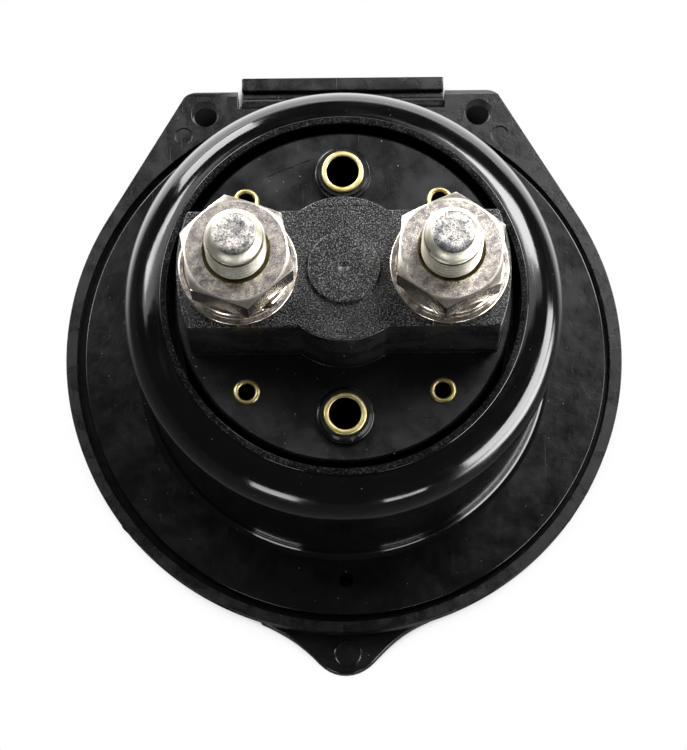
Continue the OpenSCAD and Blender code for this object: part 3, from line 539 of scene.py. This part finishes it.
def flash(name, start_angle, end_angle, height):
    """A torn rim of thin plastic along the frame's outer edge, between two angles in degrees."""
    count = int((end_angle - start_angle) * FLASH_STEPS_PER_DEGREE)
    outer = []
    for i in range(count + 1):
        angle = radians(start_angle + (end_angle - start_angle) * i / count)
        fade = min(1, 4 * i / count, 4 * (count - i) / count)
        radius = 51.5 + fade * (0.1 + 0.07 * sin(i / 5) + 0.16 * ragged.random() ** 2)
        outer.append((radius * cos(angle), radius * sin(angle)))
    inner = arc((0, 0), 51.2, end_angle, start_angle, count)
    return plate(name, outer + inner, height, height + FLASH_THICK)


rims = [flash("flash_left", 203, 259, 7.4), flash("flash_right", 283, 312, 7.8),
        flash("flash_low", 318, 334, 8.2)]
join(ring, tongue, *lugs, *rims)
settle(ring)
hand_over(ring, "housing", "satin_black", [dull_polypropylene, unrubbed_polypropylene],
          "mounting_frame")
# The recess's faces get the painted-shade black.
coat_faces(ring, 1, lambda c, n: hypot(c.x, c.y) < 49.9 and 5.6 < c.z < 9.3)

# Lid with its finger tab, hinge barrel, stop fin and inner ribs.
lid = turned("lid_moulding", arc((47.2, 3.0), 3.0, -90, 0, 10) + arc((49.95, 4.95), 0.25, 0, 90, 3)
             + arc((48.4, 5.0), 0.2, 90, 180, 3) + arc((47.9, 2.5), 0.3, 0, -90, 4), steps=192)
right_flank = [(15.7, -48.6), (14.0, -49.35), (12.2, -50.25), (10.5, -51.3), (8.9, -52.5),
               (7.4, -53.85), (6.0, -55.25), (4.9, -56.4)]
left_flank = [(-5.1, -56.4), (-6.2, -55.25), (-7.6, -53.95), (-9.2, -52.65), (-10.8, -51.55),
              (-12.5, -50.55), (-14.2, -49.65), (-15.9, -48.9)]
tip = [(4.1, -57.1), (3.2, -57.7), (2.2, -58.18), (1.1, -58.49), (0.0, -58.6), (-1.1, -58.55),
       (-2.2, -58.3), (-3.2, -57.86), (-4.2, -57.2)]
tab_outline = right_flank + tip + left_flank + [(-15.7, -46.5), (15.7, -46.5)]
tab = plate("tab", tab_outline[::-1], 1.05, 4.15)
soften(tab, 0.55, 3)
mark = turned("ejector_mark", [(2.62, 4.1), (2.55, 4.24), (2.4, 4.31), (2.25, 4.24), (2.18, 4.1),
                               (2.0, 4.1)], (0.2, -54.9), 48)
HINGE_X, HINGE_Y, HINGE_Z, HINGE_HALF = 0.25, 50, 3.1, 19.25
HINGE_LEFT, HINGE_RIGHT = HINGE_X - HINGE_HALF, HINGE_X + HINGE_HALF
web_bar = block("hinge_web", (HINGE_LEFT, 44.6, 1.0), (HINGE_RIGHT, 55.9, 2.65), 0.25)
fin = block("stop_fin", (HINGE_LEFT, 53.35, 1.0), (HINGE_RIGHT, 56.0, 4.0), 0.3)
barrel = bar("barrel", 2.1, (HINGE_X, HINGE_Y, HINGE_Z), 2 * HINGE_HALF, "X")
soften(barrel, 0.2)
carve(barrel, bar("pin_bore", 0.96, (0, HINGE_Y, HINGE_Z), 60, "X", 32))
RIB_LOW, RIB_TOP = 2.0, 3.3
rib_ring = turned("rib_ring", [(28.92, RIB_LOW), (28.92, RIB_TOP), (29.88, RIB_TOP),
                               (29.88, RIB_LOW), (28.92, RIB_LOW)], steps=128, closed=True)
rib = block("rib", (28.9, -0.75, RIB_LOW), (45.8, 0.75, RIB_TOP), 0.15)
ribs = [copy_of(rib, "rib_%d" % i, turn=60 * i) for i in range(6)]
bpy.data.objects.remove(rib)
join(lid, tab, mark, web_bar, fin, barrel, rib_ring, *ribs)
settle(lid)
hand_over(lid, "lid", "glossy_black", [glossy_polypropylene, dull_polypropylene], "lid")
coat_faces(lid, 1, lambda c, n: (c.y > 46 and abs(c.x - HINGE_X) < HINGE_HALF + 0.15
                                 and hypot(c.x, c.y) > 50.2))

# Switch base: a disc with the terminal block, its foot, its round pad and two collars.
BASE_LOW, BASE_TOP, BLOCK_TOP = 51.95, 55.95, 74.6
STUD_X, BUSH_Y, EYE_X, EYE_Y = 17.55, 21.3, 16.751, 16.851
STUD_HOLE_R = 4.85


def hidden_bores():
    """The spring's pocket and the spindle's bearing in the base."""
    return [bar("pocket", 7.8, (0, 0, 55.05), 10.2, steps=64),
            bar("bearing", 3.06, (0, 0, 61.45), 10, steps=32)]


def stud_holes(middle, length):
    """The two studs' holes, about a middle height."""
    return [bar("stud_hole", STUD_HOLE_R, (side * STUD_X, 0, middle), length) for side in (-1, 1)]


disc = turned("base_moulding", [(28.9, BASE_LOW), (29.1, BASE_LOW + 0.2), (29.1, BASE_TOP - 0.35),
                                (28.75, BASE_TOP)], steps=192)
settle(disc)
carve(disc, *hidden_bores(),
      *[bar("bush_hole", 3.75, (0, side * BUSH_Y, 54), 8) for side in (-1, 1)],
      *[bar("eye_hole", 1.9, (x * EYE_X, y * EYE_Y, 54), 8, steps=32)
        for x in (-1, 1) for y in (-1, 1)],
      *stud_holes(54, 8))

# A long scuff at the disc's back left, in four short strokes.
scuff = [(-14.32, 20.29), (-12.93, 21.27), (-11.28, 22.06), (-9.11, 22.85), (-5.63, 24.26)]
SCUFF_HALF_WIDTH, SCUFF_DEPTH = 0.08, 0.1
strokes = []
for (x1, y1), (x2, y2) in zip(scuff, scuff[1:]):
    x, y, half = (x1 + x2) / 2, (y1 + y2) / 2, hypot(x2 - x1, y2 - y1) / 2 + 0.03
    stroke = block("stroke", (x - half, y - SCUFF_HALF_WIDTH, BASE_TOP - SCUFF_DEPTH),
                   (x + half, y + SCUFF_HALF_WIDTH, BASE_TOP + 1))
    strokes.append(tilt(stroke, degrees(atan2(y2 - y1, x2 - x1)), "Z", (x, y, 0)))
carve(disc, *strokes)

# The block is a bar with round ends and a round lobe on each side. Its foot spreads a little.
BLOCK_R, BLOCK_HALF_WIDTH, LOBE_R = 27.9, 10, 12.4
end_angle = degrees(atan2(BLOCK_HALF_WIDTH, sqrt(BLOCK_R ** 2 - BLOCK_HALF_WIDTH ** 2)))
lobe_angle = degrees(acos(BLOCK_HALF_WIDTH / LOBE_R))
block_outline = (arc((0, 0), BLOCK_R, -end_angle, end_angle, 24)
                 + arc((0, 0), LOBE_R, 90 - lobe_angle, 90 + lobe_angle, 16)
                 + arc((0, 0), BLOCK_R, 180 - end_angle, 180 + end_angle, 24)
                 + arc((0, 0), LOBE_R, 270 - lobe_angle, 270 + lobe_angle, 16))
terminal_block = plate("terminal_block", block_outline, BASE_TOP - 0.3, BLOCK_TOP)
soften(terminal_block, 0.3, 3, 60)
foot_outline = [(x * 1.018 if abs(x) < 26 else x, y * 1.035) for x, y in block_outline]
foot = plate("block_foot", foot_outline, BASE_TOP - 0.3, BASE_TOP + 0.32)
soften(foot, 0.28, 3, 60)
carve(foot, *hidden_bores(), *stud_holes(55, 4))
carve(terminal_block, *hidden_bores(), block("flow_line", (-5.1, 10.63, 74.5), (5.3, 10.77, 75)),
      *stud_holes(65, 40))
PAD_TOP = 75.6
pad = turned("pad", [(6.45, BLOCK_TOP - 0.4), (6.35, BLOCK_TOP + 0.02), (6.1, BLOCK_TOP + 0.2),
                     (6.1, PAD_TOP - 0.3)]
             + arc((5.8, PAD_TOP - 0.3), 0.3, 0, 90, 4)
             + [(1.0, PAD_TOP), (0.85, PAD_TOP - 0.12), (0.3, PAD_TOP - 0.14)])
collar_profile = [(3.78, 55.7), (4.9, 55.7), (4.9, 57.2), (4.65, 57.45), (4.5, 57.45), (4.45, 58.0),
                  (4.25, 58.2), (3.78, 58.2), (3.78, 55.7)]
collars = [turned("collar", collar_profile, (0, side * BUSH_Y), 64, closed=True)
           for side in (-1, 1)]
join(disc, terminal_block, foot, pad, *collars)
settle(disc)
hand_over(disc, "housing", "grained_black", [smooth_nylon, eroded_nylon], "switch_base")
coat_faces(disc, 1, lambda c, n: c.z > BLOCK_TOP - 0.5 and n.z > 0.3)

# Studs. The pitch and the root's radius are those of an M10 x 1.5 thread.
PITCH, ROOT_R, THREAD_LOW, THREAD_TOP, SMOOTH_END = 1.5, 4.15, 85.6, 95.1, 95.05


def stud_core(name):
    """Contact, head and shank, with the stepped and hammered free end."""
    return turned(name, [
        (5.3, 47.0), (5.5, 47.2), (5.5, 48.75), (7.4, 48.75), (7.5, 48.85), (7.5, 51.85),
        (7.4, 51.95), (4.8, 51.95), (4.8, 86.0), (ROOT_R, 86.3), (ROOT_R, 94.9),
        (4.5, SMOOTH_END), (4.55, 95.25), (4.45, 95.6), (4.2, 96.15), (3.85, 96.65),
        (3.5, 96.98), (3.25, 97.1), (2.0, 97.06), (0.8, 97.03)], steps=64)


def thread(name):
    """The thread, its last turns cut low by the blank's taper."""
    only()
    ops.mesh.primitive_circle_add(vertices=7, radius=MM, location=(0, 0, 0))
    piece = bpy.context.active_object
    piece.name = name
    shape = ((ROOT_R - 0.02, 0), (ROOT_R, 0.15), (4.94, 0.64), (5.0, 0.7), (4.94, 0.76),
             (4.72, 0.9), (ROOT_R, 1.26))
    for vertex, (radius, rise) in zip(piece.data.vertices, shape):
        vertex.co = (radius * MM, 0, (THREAD_LOW + rise) * MM)
    edit(piece, "EDGE")
    mesh = bmesh.from_edit_mesh(piece.data)
    for edge in mesh.edges:
        edge.select = {v.index for v in edge.verts} == {0, 6}
    bmesh.update_edit_mesh(piece.data)
    ops.mesh.delete(type="EDGE_FACE")
    ops.mesh.select_all(action="DESELECT")
    close_edit()
    modify(piece, "SCREW", angle=radians(360), steps=64, render_steps=64, iterations=7,
           screw_offset=PITCH * MM, use_merge_vertices=False)
    for vertex in piece.data.vertices:
        x, y, z = vertex.co / MM
        radius = hypot(x, y)
        limit = min(radius, 4.6 + max(0.0, 95.0 - z) * 0.4)
        limit = limit if z < SMOOTH_END else ROOT_R - 0.1
        vertex.co = (x * limit / radius * MM, y * limit / radius * MM, min(z, THREAD_TOP) * MM)
    return piece


core = stud_core("stud_core")
join(core, thread("stud_thread"))
for side, word in ((-1, "left"), (1, "right")):
    stud = copy_of(core, "stud_" + word, (side * STUD_X, 0, 0), 70 if side > 0 else 0)
    settle(stud, smooth=50)
    hand_over(stud, "housing", "plated_copper", [plated_thread, cut_end, thread_groove],
              "terminal_stud_" + word)
    coat_faces(stud, 1, lambda c, n: c.z > 97.0)
    # The thread's roots get the painted-shade metal.
    coat_faces(stud, 2, lambda c, n: c.z < 94.8 and hypot(abs(c.x) - STUD_X, c.y) < 4.7)
bpy.data.objects.remove(core)

# Nuts: a hexagon, 17 mm across flats, cut by a domed crown that leaves its chamfers.
NUT_LOW, NUT_TOP = 78.8, 86.8
corner = 17 / sqrt(3)
dome = [(7.4, -0.36), (8.2, 0), (8.8, 0.26), (9.4, 0.59), (corner + 0.3, 1.05)]
only()
ops.mesh.primitive_cylinder_add(vertices=6, radius=corner * MM, depth=8 * MM,
                                location=(0, 0, (NUT_LOW + 4) * MM), rotation=(0, 0, radians(90)))
nut = bpy.context.active_object
nut.name = "nut"
ops.object.transform_apply(location=True, rotation=True, scale=True)
crown = turned("crown", [(r, NUT_LOW + d) for r, d in dome]
               + [(r, NUT_TOP - d) for r, d in dome[::-1]], steps=128)
bore = turned("bore", [(5.8, NUT_LOW - 0.3), (4.87, NUT_LOW + 0.6), (4.87, NUT_TOP - 0.6),
                       (5.05, NUT_TOP - 0.38), (5.62, NUT_TOP), (6.05, NUT_TOP + 0.3)], steps=64)
settle(crown)
settle(bore)
carve(nut, crown, operation="INTERSECT")
carve(nut, bore)
soften(nut, 0.12, 2, 25)

# Flat washers and split lock washers.
washer = turned("washer", arc((9.75, 74.85), 0.25, -90, 0, 3) + arc((9.65, 76.25), 0.35, 0, 90, 4)
                + arc((5.5, 76.35), 0.25, 90, 180, 3) + arc((5.4, 74.75), 0.15, 180, 270, 2)
                + [(9.75, 74.6)], steps=128, closed=True)
lock = turned("lock", [(5.25, 76.62), (8.85, 76.62), (9.05, 76.85), (9.05, 78.55), (8.85, 78.78),
                       (5.3, 78.78), (5.1, 78.55), (5.1, 76.8), (5.25, 76.62)],
              steps=128, closed=True)
settle(lock)
carve(lock, tilt(block("slit", (3, -0.7, 73), (12, 0.7, 83)), 32, "X", (0, 0, 77.7)))
soften(lock, 0.08, 2, 60)
for side, word, nut_turn, slit_turn in ((-1, "left", 41, -53), (1, "right", 24.5, -98)):
    for part, node, turn in ((nut, "terminal_nut_", nut_turn), (washer, "flat_washer_", 30 * side),
                             (lock, "lock_washer_", slit_turn)):
        piece = copy_of(part, node.replace("terminal_", "") + word + "_part",
                        (side * STUD_X, 0, 0), turn)
        settle(piece)
        hand_over(piece, "housing", "plated_steel",
                  [plated_steel, plated_flats, plated_chamfer, golden_plate], node + word)
        # Side faces get the plate painted paler as painted light.
        coat_faces(piece, 1, lambda c, n: n.z < 0.9)
        # Upward-facing chamfers get the paler plate as a painted highlight.
        coat_faces(piece, 2, lambda c, n: 0.7 < n.z < 0.96 and c.z > 85)
        coat_faces(piece, 3, lambda c, n: (n.z < 0.97 and c.z > 80
                                           and hypot(abs(c.x) - STUD_X, c.y) < 6))
for part in (nut, washer, lock):
    bpy.data.objects.remove(part)

# Brass bushings and eyelets.
BRASS_LOW = 29.61
bush = turned("bush", [(2.75, BRASS_LOW), (3.7, BRASS_LOW)] + arc((3.35, 58.55), 0.35, 0, 90, 4)
              + arc((3.0, 58.65), 0.25, 90, 180, 4) + [(2.75, BRASS_LOW)], steps=64, closed=True)
bushes = [copy_of(bush, "bush_%d" % i, (0, (2 * i - 1) * BUSH_Y, 0)) for i in range(2)]
bpy.data.objects.remove(bush)
join(*bushes)
bushes[0].name = "brass_bushings"
settle(bushes[0])
hand_over(bushes[0], "housing", "brass", [drawn_brass, tarnished_brass], "mounting_bushings")
coat_faces(bushes[0], 1, lambda c, n: hypot(c.x, abs(c.y) - BUSH_Y) < 2.8 and c.z < 58.6)

curl = [(1.85 + 0.45 * cos(radians(a)), BASE_TOP + 0.54 * sin(radians(a)))
        for a in range(15, 181, 15)]
eyelet = turned("eyelet", [(1.4, BRASS_LOW), (2.3, BRASS_LOW), (2.3, 30.5), (1.85, 30.5),
                           (1.85, BASE_TOP), (2.3, BASE_TOP)] + curl + [(1.4, BRASS_LOW)],
                steps=48, closed=True)
eyelets = [copy_of(eyelet, "eyelet_%d%d" % (x, y),
                   ((2 * x - 1) * EYE_X, (2 * y - 1) * EYE_Y, 0), 40 * x + 90 * y)
           for x in range(2) for y in range(2)]
bpy.data.objects.remove(eyelet)
join(*eyelets)
eyelets[0].name = "brass_eyelets"
settle(eyelets[0])
hand_over(eyelets[0], "housing", "brass", [drawn_brass, tarnished_brass], "eyelets")
coat_faces(eyelets[0], 1, lambda c, n: (hypot(abs(c.x) - EYE_X, abs(c.y) - EYE_Y) < 1.45
                                        and c.z < BASE_TOP))

# Pieces behind the lid and inside the switch, refined from their solids.
for node, width, body, slot, finish in (
        ("knob", 0.7, "rotor", "red_plastic", red_polypropylene),
        ("ring_nut", 0.3, "housing", "satin_black", satin_nylon),
        ("switch_cover", 0.25, "housing", "satin_black", satin_nylon),
        ("hinge_pin", 0.15, "housing", "steel", drawn_steel),
        ("knob_screw", 0.12, "rotor", "plated_steel", plated_steel),
        ("contact_bridge", 0.2, "bridge", "copper", rolled_copper)):
    piece = merged_copy(node, width)
    settle(piece)
    piece.data.materials.clear()
    hand_over(piece, body, slot, [finish], node)

# Pieces that no view shows stay as their solids are and get a material.
for node, finish in (("lid_seal", nitrile), ("neck_gasket", nitrile), ("spindle_seal", nitrile),
                     ("spindle", drawn_steel), ("thrust_washer", drawn_steel),
                     ("contact_carrier", cream_nylon)):
    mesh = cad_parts[node].data
    mesh.materials.clear()
    mesh.materials.append(finish)

# The return spring stands on the bridge. It is 15.7 mm long and is pressed together by 2.4 mm as
# the bridge rises.
spring = merged_copy("return_spring", 0.12)
settle(spring)
spring.data.materials.clear()
hand_over(spring, "bridge", "steel", [drawn_steel], "return_spring")
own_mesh(spring)

# Floor: white paper. The camera sees the white world through it, darkened by the switch's shadow,
# so that the opened lid shows below it too. Painted deep shade lies below the ears' holes. For
# gloss the paper glows as painted light, bright behind the switch and dark in front of it. Its
# measures are in metres.
only()
ops.mesh.primitive_circle_add(vertices=64, radius=3, fill_type="NGON",
                              location=(0, 0, -0.02 * MM))
floor = bpy.context.active_object
floor.name = "studio_floor"
paper, tree, shader, place = start("white_paper", 1.45)
feed(tree, shader, Base_Color=linear("#f2f2f0"), Roughness=0.7)
path = add(tree, "LightPath")
near = add(tree, "AmbientOcclusion", {"samples": 16}, Distance=14 * MM)
shade = ramp_of(tree, near.outputs["AO"],
                [(0.15, 0.02), (0.36, 0.2), (0.48, 0.9), (0.58, 1.0)])
spot = add(tree, "SeparateXYZ", Vector=place)
across = add(tree, "Math", {"operation": "ABSOLUTE"}, _0=spot.outputs["X"])
mirror = add(tree, "CombineXYZ", X=across.outputs[0], Y=spot.outputs["Y"])
from_hole = add(tree, "VectorMath", {"operation": "DISTANCE"}, _0=mirror.outputs[0],
                _1=(0.0261, 0.0497, 0))
# Painted shade: a dark spot on the paper below each ear's hole.
painted_ear_shade = add(tree, "MapRange", Value=from_hole.outputs["Value"], _1=0.0021, _2=0.003,
                _3=0.01, _4=1.0)
shaded = add(tree, "MixRGB", {"blend_type": "MULTIPLY"}, Fac=1.0, Color1=shade,
             Color2=painted_ear_shade.outputs[0])
clear = add(tree, "BsdfTransparent", Color=shaded.outputs[0])
open_side = add(tree, "BsdfTransparent")
# The glowing sheet is painted light: it widens towards the back and keeps clear of the switch. A
# glowing card, also painted light, lies at the right.
beside = add(tree, "Math", {"operation": "MULTIPLY_ADD"}, _0=across.outputs[0], _1=-1.28,
             _2=spot.outputs["Y"])
in_sheet = add(tree, "MapRange", {"interpolation_type": "SMOOTHSTEP"}, Value=beside.outputs[0],
               _1=-0.155, _2=-0.03, _3=0.0, _4=2.6)
behind = add(tree, "MapRange", {"interpolation_type": "SMOOTHSTEP"}, Value=spot.outputs["Y"],
             _1=-0.02, _2=0.04)
from_middle = add(tree, "VectorMath", {"operation": "LENGTH"}, _0=place)
clear_of_switch = add(tree, "MapRange", {"interpolation_type": "SMOOTHSTEP"},
                      Value=from_middle.outputs["Value"], _1=0.06, _2=0.09)
open_paper = add(tree, "Math", {"operation": "MULTIPLY"}, _0=behind.outputs[0],
                 _1=clear_of_switch.outputs[0])
sheet = add(tree, "Math", {"operation": "MULTIPLY_ADD"}, _0=in_sheet.outputs[0],
            _1=open_paper.outputs[0], _2=0.1)
from_card = add(tree, "VectorMath", {"operation": "DISTANCE"}, _0=place, _1=(0.23, -0.1, 0))
glowing_card = add(tree, "MapRange", {"interpolation_type": "SMOOTHSTEP"}, Value=from_card.outputs["Value"],
           _1=0.13, _2=0.09, _3=0.0, _4=10.0)
# The paper's glow for gloss is painted light, from no lamp.
painted_glow = add(tree, "Math", {"operation": "ADD"}, _0=sheet.outputs[0], _1=glowing_card.outputs[0])
white = add(tree, "Emission", Color=(1, 1, 1, 1), Strength=painted_glow.outputs[0])
mirrored = add(tree, "Math", {"operation": "MAXIMUM"}, _0=path.outputs["Is Glossy Ray"],
               _1=path.outputs["Is Transmission Ray"])
lit = add(tree, "MixShader", Fac=mirrored.outputs[0], _1=shader.outputs[0], _2=white.outputs[0])
seen = add(tree, "MixShader", Fac=path.outputs["Is Camera Ray"], _1=lit.outputs[0],
           _2=clear.outputs[0])
back = add(tree, "NewGeometry").outputs["Backfacing"]
passing = add(tree, "Math", {"operation": "MAXIMUM"}, _0=back, _1=path.outputs["Is Shadow Ray"])
both = add(tree, "MixShader", Fac=passing.outputs[0], _1=seen.outputs[0], _2=open_side.outputs[0])
tree.links.new(both.outputs[0], tree.nodes["Material Output"].inputs["Surface"])
floor.data.materials.append(paper)

# World: white for the camera, dim for everything else.
world = bpy.data.worlds.new("studio")
bpy.context.scene.world = world
world.use_nodes = True
sky = world.node_tree
dim = sky.nodes["Background"]
dim.inputs["Color"].default_value = (1, 1, 1, 1)
dim.inputs["Strength"].default_value = 0.06
bright = add(sky, "Background", Color=(1, 1, 1, 1), Strength=1.0)
view = add(sky, "LightPath")
around = add(sky, "MixShader", Fac=view.outputs["Is Camera Ray"], _1=dim.outputs[0],
             _2=bright.outputs[0])
sky.links.new(around.outputs[0], sky.nodes["World Output"].inputs["Surface"])


def toward(azimuth, elevation):
    """The direction to a place in the studio, in degrees."""
    a, e = radians(azimuth), radians(elevation)
    return Vector((cos(a) * cos(e), sin(a) * cos(e), sin(e)))


LIT_MIDDLE = Vector((0, 0, 40))


def softbox(name, start_at, end_at, width, distance, radiance):
    """A flat lamp that faces the switch and reaches from one direction to another (azimuth and
    elevation in degrees), width degrees across, at a distance in metres, with its brightness."""
    a, b = toward(*start_at), toward(*end_at)
    outward, along = (a + b).normalized(), (b - a).normalized()
    data = bpy.data.lights.new(name, "AREA")
    data.shape = "RECTANGLE"
    data.size = 2 * distance * tan(a.angle(b) / 2)
    data.size_y = 2 * distance * tan(radians(width) / 2)
    data.energy = radiance * pi * data.size * data.size_y
    lamp = bpy.data.objects.new(name, data)
    bpy.context.scene.collection.objects.link(lamp)
    turn = Matrix((along, outward.cross(along), outward)).transposed().to_4x4()
    lamp.matrix_world = Matrix.Translation(LIT_MIDDLE * MM + outward * distance) @ turn
    lamp.visible_camera = False


softbox("softbox_right", (33, 35), (62, 62), 16, 0.9, 15)
softbox("softbox_right_edge", (29, 32), (72, 68), 25, 0.95, 1.2)
softbox("softbox_left", (160, 30), (128, 52), 10, 0.9, 12)
softbox("softbox_left_edge", (166, 26), (113, 66), 15, 0.95, 2.2)
softbox("softbox_left_low", (110, 18), (133, 18), 26, 0.9, 11)
softbox("softbox_backdrop", (60, 1), (135, 1), 9, 0.5, 1.5)
softbox("softbox_front_right", (-48, 5), (9, 5), 23, 0.35, 11)
softbox("softbox_front_left", (-122, 2), (-106, 2), 14, 0.4, 7)
softbox("softbox_front", (-77, 1), (-63, 1), 9, 0.4, 7)
softbox("softbox_below", (-75, -50), (-45, -50), 40, 1.0, 1.6)
softbox("softbox_below_far", (105, -60), (135, -60), 40, 1.0, 1.2)

# Camera: fitted to the photograph, whose focal length is 3256 pixels for a height of 750.
FOCAL_PIXELS, PHOTO_HEIGHT, SENSOR = 3256, 750, 36
eye, target = Vector((-0.99, -136.12, 598.7)) * MM, Vector((-0.13, -3.57, 9.5)) * MM
forward = (target - eye).normalized()
right = forward.cross(Vector((0, 1, 0))).normalized()
up = right.cross(forward)
lean = -0.01
right, up = cos(lean) * right + sin(lean) * up, -sin(lean) * right + cos(lean) * up
camera_data = bpy.data.cameras.new("photo_camera")
camera_data.lens = FOCAL_PIXELS / PHOTO_HEIGHT * SENSOR
camera_data.sensor_width = SENSOR
camera_data.clip_start, camera_data.clip_end = 0.05, 20
camera = bpy.data.objects.new("photo_camera", camera_data)
bpy.context.scene.collection.objects.link(camera)
camera.matrix_world = Matrix((
    (right.x, up.x, -forward.x, eye.x), (right.y, up.y, -forward.y, eye.y),
    (right.z, up.z, -forward.z, eye.z), (0, 0, 0, 1)))
bpy.context.scene.camera = camera
bpy.context.scene.view_settings.view_transform = "Standard"
